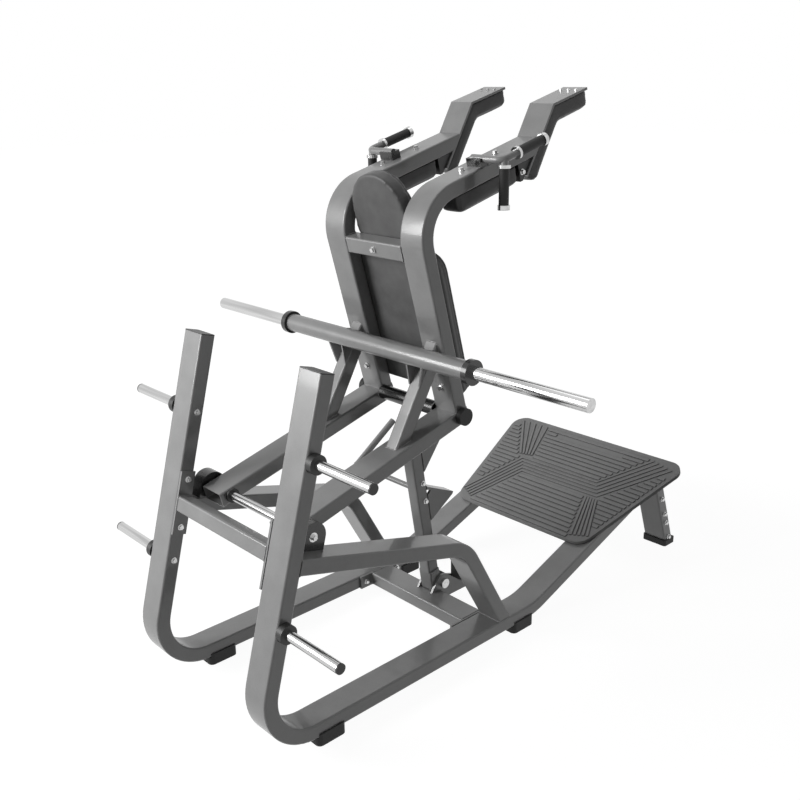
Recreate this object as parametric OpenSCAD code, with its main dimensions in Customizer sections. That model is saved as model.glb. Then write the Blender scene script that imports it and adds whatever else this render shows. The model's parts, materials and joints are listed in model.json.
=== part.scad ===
// Plate-loaded lever squat machine with a swinging safety post.
// X runs across the machine, Y runs forward to the footplate, Z runs up from the floor.
// Lengths are in millimetres and angles in degrees.

/* [Main box tube] */
// Width of the main box tube, across the machine
tube_w = 120; // [90:1:130]
// Depth of the main box tube
tube_d = 60; // [50:1:70]
// Wall of every box tube
tube_wall = 3; // [2:0.5:5]
// Wall of the round tubes
round_wall = 5; // [3:0.5:8]
// Outside corner radius of every box tube
tube_corner = 8; // [5:0.5:12]

/* [Side frames] */
// Clear width between the two side frames
frame_gap = 589; // [560:1:640]
// Height of the upright's top end on its centre line
upright_h = 1376; // [1250:1:1500]
// Forward lean of the uprights
lean = 15.4; // [12:0.1:18]
// Centre line radius of the bend at the rear of a side frame
rear_bend_r = 190; // [160:1:230]
// Place of the bend that starts the incline, from the rear end
rail_bend_y = 1420; // [1360:1:1500]
// Centre line radius of the bend that starts the incline
rail_bend_r = 340; // [250:1:420]
// Slope of the inclined rail and the footplate
incline = 20; // [16:0.5:24]
// Length of the incline, from its bend to the middle of the front leg
incline_len = 982; // [900:1:1050]
// Height of the rubber feet under the rails
foot_h = 35; // [25:1:50]

/* [Arch braces] */
// Distance down the upright to the arch brace
arch_drop = 660; // [600:1:720]
// Steepness of the arch brace's front leg
arch_leg_angle = 60.5; // [55:0.5:66]
// Place of the arch brace's foot on the rail, from the rear end
arch_foot_y = 1228; // [1180:1:1280]
// Centre line radius of the arch brace's bend
arch_bend_r = 180; // [140:1:220]

/* [Cross beams] */
// Distance down the upright to the rear cross beam
rear_beam_drop = 648; // [600:1:700]
// Place of the base cross beam, from the rear end
base_beam_y = 1152; // [1120:1:1180]
// Length of the bolted end flanges
flange_len = 250; // [220:1:280]
// Thickness of the bolted end flanges
flange_t = 10; // [6:1:14]
// Distance between the two bolts of a flange
flange_pitch = 190; // [150:1:200]

/* [Plate storage] */
// Distance down the upright to the upper storage horn
horn_drop_high = 294; // [240:1:340]
// Distance down the upright to the lower storage horn
horn_drop_low = 880; // [820:1:940]
// Length of a storage horn beyond the upright
horn_len = 299; // [200:1:360]
// Diameter of a storage horn
horn_dia = 38; // [28:1:48]
// Diameter of the black collar at a horn's root
horn_collar_dia = 70; // [60:1:90]
// Length of the black collar at a horn's root
horn_collar_len = 28; // [20:1:40]

/* [Front legs and footplate] */
// Length of the footplate up the slope
plate_len = 685; // [600:1:740]
// Width of the footplate at its lower edge
plate_low_w = 776; // [740:1:800]
// Width of the footplate at its upper edge
plate_high_w = 1064; // [980:1:1120]
// Thickness of the footplate
plate_t = 18; // [12:1:24]
// Corner radius of the footplate
plate_corner = 70; // [40:1:90]
// Distance from the front leg's middle to the footplate's upper edge
plate_over = 90; // [60:1:120]
// Thickness of the pads under the front legs
leg_pad_t = 30; // [20:1:40]

/* [Lever] */
// Upward tilt of the lever at rest
lever_tilt = 15; // [12:0.5:18]
// Distance from the upright's centre line to the pivot, along the arch brace
pivot_forward = 121; // [110:1:140]
// Height of the pivot above the arch brace
pivot_h = 49; // [44:1:60]
// Diameter of the pivot shaft
shaft_dia = 35; // [25:1:40]
// Diameter of the bearing housings
bearing_dia = 110; // [90:1:120]
// Gap between a lever tube and the side frame
lever_side_gap = 16.5; // [12:0.5:24]
// Length of the lever tube behind the pivot
lever_back_len = 47; // [40:1:60]
// Distance from the pivot to the middle of the back tube
back_u = 841; // [800:1:880]
// Height of the shoulder arm above the lever tube, middle to middle
arm_v = 869; // [820:1:920]
// Centre line radius of the bend between back tube and arm
back_bend_r = 170; // [140:1:200]
// Distance from the pivot to the front end of the arm, on its top face
arm_end_u = 1527; // [1480:1:1560]
// Width of a strut
strut_w = 60; // [50:1:70]
// Place where a strut's centre line meets the lever tube's centre line
strut_u = 514; // [480:1:540]
// Height of the round lower cross tube above the lever's centre line
cross_v = 20; // [10:1:30]
// Diameter of the round lower cross tube
cross_dia = 60; // [50:1:70]
// Height of the upper crossbar's middle
crossbar_v = 688; // [660:1:710]
// Height of the upper crossbar's section
crossbar_h = 66; // [50:1:80]
// Diameter of the rubber bumpers
bumper_dia = 70; // [50:1:80]
// Length of the rubber bumpers
bumper_len = 26; // [20:1:40]

/* [Weight sleeves] */
// Distance from the pivot to the sleeve bar, along the lever
sleeve_u = 702; // [680:1:715]
// Height of the sleeve bar above the lever's centre line
sleeve_v = 333; // [325:1:345]
// Diameter of the bar between the sleeves
sleeve_bar_dia = 74; // [60:1:80]
// Distance from the middle of the machine to a sleeve's collar
sleeve_root = 515; // [480:1:560]
// Diameter of the plate collar
sleeve_collar_dia = 95; // [80:1:110]
// Thickness of the plate collar
sleeve_collar_t = 24; // [15:1:35]
// Diameter of a weight sleeve
sleeve_dia = 50; // [48:0.5:50]
// Length of a weight sleeve beyond its collar
sleeve_len = 496; // [400:1:540]

/* [Pads] */
// Width of the back pad
back_pad_w = 556; // [480:1:580]
// Lower edge of the back pad above the lever's centre line
back_pad_low_v = 68; // [50:1:100]
// Height of the back pad
back_pad_h = 607; // [560:1:625]
// Thickness of the back pad
back_pad_t = 78; // [60:1:80]
// Width of the head pad
head_pad_w = 300; // [260:1:310]
// Height of the head pad
head_pad_h = 271; // [240:1:290]
// Thickness of the head pad
head_pad_t = 90; // [60:1:95]
// Gap between the back pad and the head pad
head_pad_gap = 22; // [15:1:30]
// Length of a shoulder pad
shoulder_len = 350; // [320:1:380]
// Thickness of a shoulder pad
shoulder_t = 76; // [60:1:90]
// Rear end of a shoulder pad
shoulder_u = 1030; // [1010:1:1045]
// Thickness of the bent front pad
hook_pad_t = 73; // [60:1:80]
// Thickness of the bent plate behind the front pad
hook_plate_t = 10; // [6:1:14]
// Height of the bent plate's flat top above the arm's middle
hook_rise = 120; // [110:1:135]
// Length of the bent front pad beyond its corner
hook_top_len = 222; // [180:1:240]
// Length of the bent front pad below its corner
hook_low_len = 298; // [270:1:320]

/* [Hand grips] */
// Distance of the grips from the middle of the machine
grip_x = 368; // [350:1:390]
// Place of the handle along the arm
handle_u = 1197; // [1180:1:1220]
// Height of the handle tube above the arm
handle_rise = 26; // [20:1:36]
// Diameter of the handle tube
handle_dia = 29; // [22:1:30]
// Diameter of the rubber grips
grip_dia = 38; // [34:1:42]
// Length of the forward grip
grip_len_front = 150; // [120:1:170]
// Length of the downward grip
grip_len_down = 145; // [120:1:160]
// Distance from the handle tube to the forward grip
grip_gap = 75; // [60:1:90]

/* [Safety post] */
// Rearward lean of the safety post
post_lean = 9.6; // [6:0.1:12]
// Width of the safety post
post_w = 60; // [50:1:70]
// Depth of the safety post
post_d = 60; // [50:1:70]
// Height of the post above its axle
post_len = 812; // [740:1:816]
// Distance from the base beam's front face to the axle
axle_forward = 15; // [12:1:25]
// Height of the axle above the base beam
axle_h = 30; // [27:1:45]
// Diameter of the post's axle
axle_dia = 16; // [12:1:20]
// Diameter of the axle's end caps
axle_cap_dia = 44; // [24:1:48]
// Thickness of the clevis plates
clevis_t = 10; // [8:1:14]
// Distance from the post's axle to the rubber stop in front of it
stop_forward = 136; // [130:1:150]
// Height of the rubber stop above the axle
stop_h = 90; // [60:1:95]
// Length of a sloping ledge on the post
ledge_len = 178; // [120:1:190]
// Width of a ledge
ledge_w = 60; // [50:1:80]
// Height of the lower ledge above the axle
ledge_low = 493; // [440:1:520]
// Distance from the post's top to the upper ledge
ledge_high_drop = 4; // [2:1:60]
// Height of the lower ledge's gusset
gusset_low_h = 169; // [140:1:190]
// Height of the upper ledge's gusset
gusset_high_h = 241; // [200:1:250]
// Height of the release bar above the axle
release_h = 476; // [460:1:500]
// Reach of the release handle to the side
release_x = 408; // [390:1:420]
// Diameter of the release bar
release_dia = 24; // [18:1:28]
// Diameter of the release handle's rod
release_rod_dia = 30; // [20:1:32]
// Length of the release handle's rod
release_rod_len = 275; // [200:1:285]

/* [Fasteners] */
// Diameter of a large bolt head
bolt_dia = 24; // [18:1:28]
// Diameter of a small bolt head
small_bolt_dia = 14; // [10:1:18]

/* [Hidden] */

// Arcs that belong to tubes, pins and bores
$fn = 64;
// Gap between pieces that move past each other or soft pieces and their seats
seat_gap = 0.3;
// Radial clearance of a shaft in its bore
run_fit = 0.05;
// Extra length that takes a cut clear of a face
cut = 1;

// Shape of the pads: edge radius, draw-in at the seam, crown, and steps of the arcs
pad_edge = 26;
pad_tuck = 5;
pad_crown = 9;
pad_arc_steps = 7;
band_steps = 16;
band_power = 5;
band_side = 0.45;

// Places across the machine
frame_in = frame_gap / 2;
frame_mid = frame_in + tube_w / 2;
frame_out = frame_in + tube_w;
lever_out = frame_in - lever_side_gap;
lever_mid = lever_out - tube_w / 2;
lever_in = lever_out - tube_w;

// Side frame centre line, as [y, z] with y from the rear end of the machine
rail_z = foot_h + tube_d / 2;
rail_top = foot_h + tube_d;
rear_bend_y = rear_bend_r + tube_d / 2;
upright_foot_y = rear_bend_y - rear_bend_r * (1 + sin(lean)) / cos(lean);
upright_top = [upright_foot_y + (upright_h - rail_z) * tan(lean), upright_h];
incline_dir = [cos(incline), sin(incline)];
incline_up = [-sin(incline), cos(incline)];
incline_start = [rail_bend_y, rail_z];
leg_top = incline_start + incline_len * incline_dir;
leg_len = (leg_top[1] - leg_pad_t) / cos(incline);
leg_foot_y = leg_top[0] + (leg_top[1] - leg_pad_t) * tan(incline);
leg_pad_over = 6;
leg_bolt_drops = [131, 228, 285, 379];
foot_rear_y = 282;
foot_front_y = 1346;
foot_len = 130;
boot_wall = 6;
boot_wrap = 15;
horn_cap_t = 6;
horn_root_dia = horn_dia - 4;
sleeve_cap_t = 8;
leg_pad_len = tube_d / cos(incline) + leg_pad_t * tan(incline) + 2 * leg_pad_over;
leg_pad_y = leg_foot_y + leg_pad_t * tan(incline) / 2;

// Overall length, which sets the origin in the middle
machine_len = leg_pad_y + leg_pad_len / 2;
origin_y = machine_len / 2;

// Arch brace centre line
upright_dir = [sin(lean), cos(lean)];
arch_dir = [cos(lean), -sin(lean)];
arch_root = upright_top - arch_drop * upright_dir;
arch_start = arch_root + tube_d / 2 * arch_dir;
arch_leg_dir = [cos(arch_leg_angle), -sin(arch_leg_angle)];
arch_foot = [arch_foot_y, rail_top];
arch_run = cross_dist(arch_root, arch_dir, arch_foot, arch_leg_dir);
arch_corner = arch_root + arch_run * arch_dir;
arch_end = arch_foot + tube_d * arch_leg_dir;

// Lever pivot, as [y, z]
pivot = arch_root + pivot_forward * arch_dir + (tube_d / 2 + pivot_h) * upright_dir;
bearing_in = lever_out + 6;
bearing_w = 59;
bearing_bore = shaft_dia + 2 * run_fit;
shaft_half = bearing_in + bearing_w + seat_gap;
bush_len = 12;

// Lever places in its own frame, with u along the lever and v square to it
back_rear_u = back_u - tube_d / 2;
back_front_u = back_u + tube_d / 2;
arm_top_v = arm_v + tube_d / 2;
arm_low_v = arm_v - tube_d / 2;
lever_top_v = tube_d / 2;
cross_u = back_u - 26;
pad_rear_u = back_front_u + seat_gap;
head_pad_low_v = back_pad_low_v + back_pad_h + head_pad_gap;
strut_slope = 45;
hook_slope = 45;
bumper_rise = 8;

// Front hook, whose plate cuts the arm's end at the slope
hook_plate_cut = arm_end_u - arm_top_v;
hook_top_v = arm_v + hook_rise;
hook_corner_u = hook_top_v + hook_plate_cut + hook_plate_t / cos(hook_slope);

// Sleeve bar's seat on a strut
strut_top_gap = abs(sleeve_v - sleeve_u + strut_u) * cos(strut_slope) - tube_d / 2;
saddle_half = 28;
saddle_tail = 100;
saddle_nose = 50;
saddle_flare = 30;
saddle_wall_t = 7;

// Hand grips
elbow_r = 30;
grip_down_u = handle_u + elbow_r / 2;
handle_v = arm_top_v + handle_rise;
grip_end_dia = grip_dia + 10;
grip_collar_len = 12;
grip_cap_len = 18;
grip_down_drop = 22;

// Bolts on the lever, as places along it or above it
arm_bolt_u = [1129, 1323];
hook_tip_back = 9;
block_h = 70;
block_set = 8;
handle_base_len = 46;
strut_bolt_v = 136;
hook_bolt_back = 45;
hook_bolt_step = 38;

// Safety post
base_front_y = base_beam_y + tube_w / 2;
base_rear_y = base_beam_y - tube_w / 2;
axle_y = base_front_y + axle_forward;
axle_z = rail_top + axle_h;
post_set = post_d / 2;
post_foot = -15;
post_foot_h = 90;
foot_cheek = 7;
clevis_in = post_w / 2 + foot_cheek + 0.5;
clevis_r = 42;
clevis_rear = 72;
clevis_low = -78;
clevis_knee = [108, -31];
clevis_tip_z = -55;
clevis_nose = 5;
stop_t = 30;
axle_stub = 16;
lug_r = 22;
post_cap_t = 6;
ledge_high = post_len - ledge_high_drop;
ledge_t = 12;
ledge_slope = 23.7;
notch_w = 21;
notch_h = 28;
release_set = 20;
release_rise = 25;
release_flange = [40, 120];
release_flange_t = 8;
release_bolt_step = 44;

// Footplate
plate_base = leg_top + (plate_over - plate_len) * incline_dir + tube_d / 2 * incline_up;

// Distance from p along a to where it crosses the line through q along b
function cross_dist(p, a, q, b) =
    ((q[0] - p[0]) * b[1] - (q[1] - p[1]) * b[0]) / (a[0] * b[1] - a[1] * b[0]);

// Heading of the line from p to q
function heading(p, q) = atan2(q[1] - p[1], q[0] - p[0]);

// Turn at corner i of a path
function turn(path, i) =
    let (change = heading(path[i], path[i + 1]) - heading(path[i - 1], path[i]))
    change > 180 ? change - 360 : change < -180 ? change + 360 : change;

// Length that the bend at corner i takes off each straight
function trim(path, radii, i) =
    (i == 0 || i == len(path) - 1) ? 0 : radii[i] * tan(abs(turn(path, i)) / 2);

// Point on the upright's centre line, s below its top
function on_upright(s) = upright_top - s * upright_dir;

// Centre of corner i of a pad w wide and h high, with its arc's radius and first angle
function pad_corner(i, w, h, low_r, high_r) =
    let (r = i < 2 ? low_r : high_r, left = i == 0 || i == 3)
    [(left ? -1 : 1) * (w / 2 - r), i < 2 ? r : h - r, r, 180 + 90 * i];

// Outline of a pad at height z, drawn in all round by inset
function pad_ring(w, h, low_r, high_r, inset, z) =
    [for (i = [0 : 3]) for (k = [0 : pad_arc_steps])
        let (c = pad_corner(i, w, h, low_r, high_r), a = c[3] + 90 * k / pad_arc_steps)
        [c[0] + (c[2] - inset) * cos(a), c[1] + (c[2] - inset) * sin(a), z]];

// Ring drawn toward the pad's middle by share s, raised by the crown
function crown_ring(ring, mid, s, rise) =
    [for (p = ring) [mid[0] + s * (p[0] - mid[0]), mid[1] + s * (p[1] - mid[1]), p[2] + rise]];

// Triangles between stacked rings of n points, with a fan at both ends
function skin_faces(n, rings) = concat(
    [for (r = [0 : rings - 2]) for (k = [0 : n - 1]) let (m = (k + 1) % n)
        [r * n + k, (r + 1) * n + k, (r + 1) * n + m]],
    [for (r = [0 : rings - 2]) for (k = [0 : n - 1]) let (m = (k + 1) % n)
        [r * n + k, (r + 1) * n + m, r * n + m]],
    [for (k = [0 : n - 1]) [rings * n, k, (k + 1) % n]],
    [for (k = [0 : n - 1])
        [rings * n + 1, (rings - 1) * n + (k + 1) % n, (rings - 1) * n + k]]);

// Mean of the points of a ring
function ring_mid(ring) = [for (i = [0 : 2]) sum([for (p = ring) p[i]]) / len(ring)];
function sum(v, i = 0) = i < len(v) ? v[i] + sum(v, i + 1) : 0;

// Section of a band pad at p on its back line, with its depth along dir
function band_ring(p, dir, w, t) = concat(
    [for (k = [0 : band_steps]) let (a = 180 * k / band_steps,
        x = w / 2 * sign(cos(a)) * pow(abs(cos(a)), 2 / band_power),
        d = t * (band_side + (1 - band_side) * pow(sin(a), 2 / band_power)))
        [x, p[0] + d * dir[0], p[1] + d * dir[1]]],
    [for (s = [-1, 1]) [s * (w / 2 - pad_tuck), p[0], p[1]]]);

// How far a rounded end is drawn in at distance d from it
function end_draw(d) = pad_edge * (1 - sqrt(1 - pow(max(0, 1 - d / pad_edge), 2)));

// Rounded rectangle with true arcs
module round_rect(w, h, r) {
    square([w - 2 * r, h], center = true);
    square([w, h - 2 * r], center = true);
    for (a = [-1, 1]) for (b = [-1, 1])
        translate([a * (w / 2 - r), b * (h / 2 - r)]) circle(r);
}

// Hollow section of a box tube
module tube_section(w, h, wall = tube_wall) {
    difference() {
        round_rect(w, h, tube_corner);
        round_rect(w - 2 * wall, h - 2 * wall, tube_corner - wall);
    }
}

// Box tube from p to q in the YZ plane, both as [y, z]
module straight_tube(p, q, w, d) {
    translate([0, p[0], p[1]])
        rotate([heading(p, q) - 90, 0, 0])
            linear_extrude(norm(q - p)) tube_section(w, d);
}

// Bend of a box tube that starts at p with heading a and turns by t
module tube_bend(p, a, t, r, w, d) {
    side = t > 0 ? 1 : -1;
    translate([0, p[0] - side * r * sin(a), p[1] + side * r * cos(a)])
        rotate([0, 90, 0])
            rotate([0, 0, t > 0 ? a : a + t + 180])
                rotate_extrude(angle = abs(t), $fn = 128)
                    translate([r, 0]) tube_section(d, w);
}

// Box tube along a path of corners in the YZ plane, with a bend radius at each corner
module bent_tube(path, radii, w = tube_w, d = tube_d) {
    last = len(path) - 1;
    for (i = [0 : last - 1]) {
        dir = (path[i + 1] - path[i]) / norm(path[i + 1] - path[i]);
        straight_tube(path[i] + trim(path, radii, i) * dir,
            path[i + 1] - trim(path, radii, i + 1) * dir, w, d);
    }
    for (i = [1 : last - 1]) {
        dir = (path[i] - path[i - 1]) / norm(path[i] - path[i - 1]);
        tube_bend(path[i] - trim(path, radii, i) * dir,
            heading(path[i - 1], path[i]), turn(path, i), radii[i], w, d);
    }
}

// Cylinder along X from x = a to x = b at [y, z]
module bar_x(a, b, dia, at = [0, 0]) {
    translate([a, at[0], at[1]]) rotate([0, 90, 0]) cylinder(d = dia, h = b - a);
}

// Slab of a YZ outline between x = a and x = b
module slab_x(a, b) {
    translate([a, 0, 0]) rotate([90, 0, 90]) linear_extrude(b - a) children();
}

// Machine frame, with y counted from the rear end
module machine() { translate([0, -origin_y, 0]) children(); }

// Lever frame, at the pivot and tilted
module lever() {
    machine() translate([0, pivot[0], pivot[1]]) rotate([lever_tilt, 0, 0]) children();
}

// Post frame, at the axle and leaning back
module post() {
    machine() translate([0, axle_y, axle_z]) rotate([post_lean, 0, 0]) children();
}

// Right piece, or its mirror on the left
module handed(side) {
    if (side > 0) children();
    else mirror([1, 0, 0]) children();
}

// Hexagon bolt head on its washer, standing on z = 0
module bolt_head(dia) {
    cylinder(d = dia, h = dia * 0.12);
    cylinder(d = dia * 0.78, h = dia * 0.5, $fn = 6);
}

// Bolt head on a face that looks along X in the given direction
module bolt_x(x, at, dia, dir) {
    translate([x, at[0], at[1]]) rotate([0, 90 * dir, 0]) bolt_head(dia);
}

// Frame pieces

module frame_tube(side) {
    color("silver") machine() handed(side) translate([frame_mid, 0, 0])
        bent_tube([upright_top, [upright_foot_y, rail_z], incline_start,
            leg_top - tube_d / 2 * incline_dir], [0, rear_bend_r, rail_bend_r, 0]);
}

module arch_brace(side) {
    color("silver") machine() handed(side) translate([frame_mid, 0, 0])
        difference() {
            bent_tube([arch_start, arch_corner, arch_end], [0, arch_bend_r, 0]);
            translate([-tube_w, arch_foot_y - tube_w, rail_top - 2 * tube_w])
                cube([2 * tube_w, 3 * tube_w, 2 * tube_w]);
        }
}

// Box tube across the machine between two end flanges, centred on the origin
module flanged_beam(depth, height, flange_along_y) {
    beam_half = frame_in - flange_t;
    translate([-beam_half, 0, 0]) rotate([0, 90, 0]) rotate([0, 0, 90])
        linear_extrude(2 * beam_half) tube_section(depth, height);
    for (side = [-1, 1])
        translate([side * (frame_in - flange_t / 2), 0, 0]) cube([flange_t,
            flange_along_y ? flange_len : tube_d, flange_along_y ? tube_d : flange_len],
            center = true);
}

module rear_beam() {
    at = on_upright(rear_beam_drop);
    color("silver") machine() translate([0, at[0], at[1]]) rotate([-lean, 0, 0])
        flanged_beam(tube_d, tube_d, false);
}

module base_beam() {
    color("silver") machine() translate([0, base_beam_y, rail_z])
        flanged_beam(tube_w, tube_d, true);
}

module front_leg(side) {
    color("silver") machine() handed(side) translate([frame_mid, 0, 0])
        difference() {
            straight_tube([leg_foot_y + tube_d * sin(incline), leg_pad_t - tube_d * cos(incline)],
                leg_top + tube_d / 2 * incline_up, tube_w, tube_d);
            translate([-tube_w, leg_foot_y - 2 * tube_w, leg_pad_t - 2 * tube_w])
                cube([2 * tube_w, 4 * tube_w, 2 * tube_w]);
        }
}

// Plastic caps on the upright's open ends
module upright_caps() {
    cap_t = 4;
    color("dimgray") machine() for (side = [-1, 1])
        handed(side) translate([frame_mid, upright_top[0], upright_top[1]])
            rotate([-lean, 0, 0]) linear_extrude(cap_t) round_rect(tube_w, tube_d, tube_corner);
}

// Places a child at the root of each storage horn, which then runs outward along X
module at_horns(sides = [-1, 1]) {
    for (side = sides) for (drop = [horn_drop_high, horn_drop_low])
        machine() handed(side)
            translate([frame_out, on_upright(drop)[0], on_upright(drop)[1]]) children();
}

// Horns, each stepped down where it passes through its collar
module storage_horns(side) {
    color("gainsboro") at_horns([side]) {
        bar_x(0, horn_collar_len, horn_root_dia);
        bar_x(horn_collar_len, horn_len - horn_cap_t, horn_dia);
    }
}

module horn_collars() {
    color("black") at_horns() difference() {
        bar_x(0, horn_collar_len, horn_collar_dia);
        bar_x(-cut, horn_collar_len + cut, horn_root_dia);
    }
}

module horn_end_caps() {
    color("dimgray") at_horns() bar_x(horn_len - horn_cap_t, horn_len, horn_dia);
}

module frame_bolts() {
    color("gainsboro") machine() for (side = [-1, 1]) handed(side) {
        for (drop = [horn_drop_high, horn_drop_low])
            bolt_x(frame_in, on_upright(drop), bolt_dia, -1);
        for (step = [-1, 1]) {
            bolt_x(frame_in - flange_t, on_upright(rear_beam_drop + step * flange_pitch / 2),
                bolt_dia, -1);
            bolt_x(frame_in - flange_t, [base_beam_y + step * flange_pitch / 2, rail_z],
                bolt_dia, -1);
        }
        for (drop = leg_bolt_drops)
            bolt_x(frame_out, leg_top - drop * incline_up, bolt_dia, 1);
    }
}

// Rubber boots under the rails, which wrap a little way up the sides
module rail_feet() {
    color("black") machine() for (side = [-1, 1]) for (y = [foot_rear_y, foot_front_y])
        handed(side) translate([frame_mid, y, 0]) difference() {
            linear_extrude(foot_h + boot_wrap) round_rect(tube_w + 2 * boot_wall, foot_len, 20);
            translate([-tube_w / 2, -foot_len, foot_h])
                cube([tube_w, 2 * foot_len, boot_wrap + cut]);
        }
}

module leg_feet() {
    color("black") machine() for (side = [-1, 1])
        handed(side) translate([frame_mid, leg_pad_y, 0])
            linear_extrude(leg_pad_t) round_rect(tube_w + 2 * leg_pad_over, leg_pad_len, 12);
}

// Footplate, which lies on the inclined rails
module footplate() {
    low = plate_low_w / 2;
    high = plate_high_w / 2;
    flank = atan2(high - low, plate_len);
    // Corner arcs touch both edges of their corner
    low_in = plate_corner * tan((90 - flank) / 2);
    high_in = plate_corner * tan((90 + flank) / 2);
    color("gray") machine() translate([0, plate_base[0], plate_base[1]])
        rotate([incline, 0, 0]) linear_extrude(plate_t) hull() for (s = [-1, 1]) {
            translate([s * (low - low_in), plate_corner]) circle(plate_corner);
            translate([s * (high - high_in), plate_len - plate_corner]) circle(plate_corner);
        }
}

// Pillow block with a round body on a flat base
module bearing(side) {
    color("black") machine() handed(side) translate([0, pivot[0], pivot[1]])
        rotate([-lean, 0, 0]) difference() {
        union() {
            bar_x(bearing_in, bearing_in + bearing_w, bearing_dia);
            slab_x(bearing_in, bearing_in + bearing_w)
                translate([-bearing_dia / 2, -pivot_h]) square([bearing_dia, pivot_h]);
        }
        bar_x(bearing_in - cut, bearing_in + bearing_w + cut, bearing_bore);
        translate([bearing_in - cut, -bearing_dia, -pivot_h - bearing_dia])
            cube([bearing_w + 2 * cut, 2 * bearing_dia, bearing_dia]);
    }
}

// Clevis plates that carry the post's axle, and reach forward to the stop
module post_clevis() {
    top = -axle_h;
    front = -axle_forward;
    tip = stop_forward + stop_t + clevis_nose;
    color("silver") machine() for (side = [-1, 1]) handed(side)
        translate([0, axle_y, axle_z]) difference() {
            slab_x(clevis_in, clevis_in + clevis_t) {
                circle(clevis_r);
                polygon([[-clevis_rear, top], [front, top], [front, clevis_low],
                    [tip, clevis_low], [tip, clevis_tip_z], clevis_knee,
                    clevis_r * [cos(52), sin(52)], clevis_r * [cos(142), sin(142)]]);
            }
            bar_x(0, clevis_in + clevis_t + cut, axle_dia);
            translate([0, -2 * clevis_r, top - clevis_r])
                cube([2 * clevis_in, front + 2 * clevis_r, clevis_r]);
        }
}

// Rubber stop between the clevis plates, where the post comes to lie
module post_stop() {
    color("black") machine() translate([-clevis_in, axle_y + stop_forward, axle_z + clevis_low])
        cube([2 * clevis_in, stop_t, stop_h - clevis_low]);
}

module post_axle() {
    end = clevis_in + clevis_t;
    color("gainsboro") machine() {
        bar_x(-end - axle_stub, end + axle_stub, axle_dia, [axle_y, axle_z]);
        for (side = [-1, 1])
            handed(side) bar_x(end, end + axle_stub, axle_cap_dia, [axle_y, axle_z]);
    }
}

// Lever pieces, which turn about the pivot

module pivot_shaft() {
    color("gainsboro") lever() bar_x(-shaft_half, shaft_half, shaft_dia);
}

module shaft_bolts() {
    color("gainsboro") lever() for (side = [-1, 1])
        handed(side) bolt_x(shaft_half, [0, 0], bolt_dia, 1);
}

// Bushes on the shaft beside the lever tubes
module shaft_bushes() {
    color("black") lever() for (side = [-1, 1]) handed(side) {
        difference() {
            bar_x(lever_in - bush_len, lever_in, shaft_dia + 20);
            bar_x(lever_in - bush_len - cut, lever_in + cut, shaft_dia);
        }
        difference() {
            bar_x(lever_out, bearing_in - seat_gap, shaft_dia + 20);
            bar_x(lever_out - cut, bearing_in + cut, shaft_dia);
        }
    }
}

module lever_tube(side) {
    color("silver") lever() handed(side) difference() {
        translate([lever_mid, 0, 0])
            straight_tube([-lever_back_len, 0], [back_front_u, 0], tube_w, tube_d);
        bar_x(lever_in - cut, lever_out + cut, shaft_dia);
    }
}

module strut(side) {
    // The ends are cut along the lever tube's top and the back tube's rear face
    color("silver") lever() handed(side) translate([lever_mid, 0, 0]) intersection() {
        straight_tube([strut_u - tube_d, -tube_d], [strut_u + back_u, back_u],
            strut_w, tube_d);
        translate([-tube_w, strut_u - 2 * tube_w, lever_top_v])
            cube([2 * tube_w, back_rear_u - strut_u + 2 * tube_w, back_u]);
    }
}

// Back tube that bends forward into the shoulder arm
module back_tube(side) {
    color("silver") lever() handed(side) translate([lever_mid, 0, 0]) difference() {
        bent_tube([[back_u, lever_top_v], [back_u, arm_v], [arm_end_u, arm_v]],
            [0, back_bend_r, 0]);
        slab_x(-tube_w, tube_w) polygon([[hook_plate_cut + arm_low_v - tube_d, arm_low_v - tube_d],
            [arm_end_u + tube_d, arm_top_v + tube_d], [arm_end_u + tube_d, arm_low_v - tube_d]]);
    }
}

module cross_tube() {
    color("black") lever() difference() {
        bar_x(-lever_in, lever_in, cross_dia, [cross_u, cross_v]);
        bar_x(-lever_in - cut, lever_in + cut, cross_dia - 2 * round_wall, [cross_u, cross_v]);
    }
}

module upper_crossbar() {
    color("silver") lever() translate([-lever_in, back_u, crossbar_v])
        rotate([0, 90, 0]) rotate([0, 0, 90])
            linear_extrude(2 * lever_in) tube_section(tube_d, crossbar_h);
}

module sleeve_bar() {
    at = [sleeve_u, sleeve_v];
    color("silver") lever() difference() {
        bar_x(-sleeve_root, sleeve_root, sleeve_bar_dia, at);
        bar_x(-sleeve_root - cut, sleeve_root + cut, sleeve_bar_dia - 2 * round_wall, at);
    }
}

// Saddles that carry the bar on the struts, each with a straight inner wall and an outer wall
// that flares outward up to the bar
module sleeve_saddles() {
    inner = -strut_w / 2;
    outer = strut_w / 2 - saddle_wall_t;
    color("silver") lever() for (side = [-1, 1]) handed(side) difference() {
        translate([lever_mid, sleeve_u, sleeve_v]) rotate([strut_slope, 0, 0]) {
            saddle_wall(inner, inner);
            saddle_wall(outer, outer + saddle_flare);
        }
        bar_x(0, frame_out, sleeve_bar_dia, [sleeve_u, sleeve_v]);
    }
}

// Wall on the strut's face at x = low that rises to the bar at x = high, with Y along the strut
module saddle_wall(low, high) {
    bar_r = sleeve_bar_dia / 2;
    hull() {
        translate([high, -saddle_half, -bar_r * 0.6])
            cube([saddle_wall_t, 2 * saddle_half, bar_r * 0.3]);
        translate([low, -saddle_tail, -strut_top_gap])
            cube([saddle_wall_t, saddle_tail + saddle_nose, 1]);
    }
}

module sleeve_collars() {
    color("dimgray") lever() for (side = [-1, 1])
        handed(side) bar_x(sleeve_root, sleeve_root + sleeve_collar_t, sleeve_collar_dia,
            [sleeve_u, sleeve_v]);
}

module weight_sleeve(side) {
    root = sleeve_root + sleeve_collar_t;
    color("gainsboro") lever() handed(side)
        bar_x(root, root + sleeve_len, sleeve_dia, [sleeve_u, sleeve_v]);
}

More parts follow.
